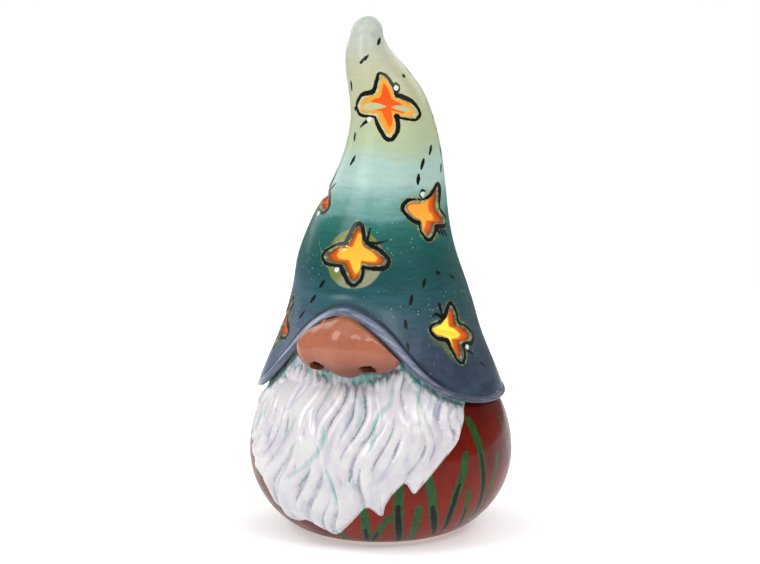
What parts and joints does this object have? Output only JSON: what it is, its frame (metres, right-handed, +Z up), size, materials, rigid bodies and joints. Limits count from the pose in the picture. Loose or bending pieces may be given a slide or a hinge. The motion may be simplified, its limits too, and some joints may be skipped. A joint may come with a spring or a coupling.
{
  "type": "gnome lantern figurine",
  "caption": "Tomte gnome lantern: glazed ceramic pot body with beard and nose in relief, a star-pierced pointed hat that lifts off as the lid, and an LED tea light inside.",
  "frame": {"origin": "middle of the felt disc's underside, on the table", "axes": "+Z up through the hat, -Y out of the nose, +X to the viewer's right when the nose faces the viewer"},
  "size_m": [0.118, 0.1222, 0.2295],
  "materials": {
    "pot": "rust-red gloss glaze with green and black grass blades brushed up from the foot",
    "base_slab": "rust-red gloss glaze, bare clay under the foot",
    "face_slab": "rust-red gloss glaze, behind the nose",
    "beard": "white gloss glaze over combed locks, teal and lavender in the grooves",
    "nose": "warm brown gloss glaze",
    "base_felt": "dark green wool felt",
    "hat": "gloss glaze from pale green at the tip through mint and teal to slate blue at the brim, stars outlined in black",
    "tealight_cup": "ivory moulded plastic",
    "tealight_flame": "translucent amber",
    "led": "clear warm-white epoxy",
    "led_leads": "tinned wire",
    "cell_holder": "moulded plastic",
    "coin_cell": "nickel-plated steel",
    "contact_positive": "spring strip",
    "contact_negative": "spring strip",
    "base_plate": "ivory moulded plastic",
    "battery_door": "ivory moulded plastic with a coin slot",
    "switch_knob": "black moulded plastic",
    "switch_wiper": "stamped strip"
  },
  "bodies": {
    "pot": {"pot": "pot", "base_slab": "base_slab", "face_slab": "face_slab", "beard": "beard", "nose": "nose", "base_felt": "base_felt"},
    "hat": {"hat": "hat"},
    "tealight": {"tealight_cup": "tealight_cup", "tealight_flame": "tealight_flame", "led": "led", "led_leads": "led_leads", "cell_holder": "cell_holder", "coin_cell": "coin_cell", "contact_positive": "contact_positive", "contact_negative": "contact_negative", "base_plate": "base_plate"},
    "battery_door": {"battery_door": "battery_door"},
    "switch": {"switch_knob": "switch_knob", "switch_wiper": "switch_wiper"}
  },
  "joints": [
    {"name": "hat_lift", "type": "slide", "parent": "pot", "child": "hat", "axis": [0, 0, 1], "range_m": [0, 0.12]},
    {"name": "tealight_lift", "type": "slide", "parent": "pot", "child": "tealight", "axis": [0, 0, 1], "range_m": [0, 0.1]},
    {"name": "door_lock_turn", "type": "hinge", "parent": "tealight", "child": "battery_door", "pos_m": [0, 0, 0.008], "axis": [0, 0, 1], "range_deg": [0, 25]},
    {"name": "switch_slide", "type": "slide", "parent": "tealight", "child": "switch", "axis": [0, 1, 0], "range_m": [0, 0.0025]}
  ]
}
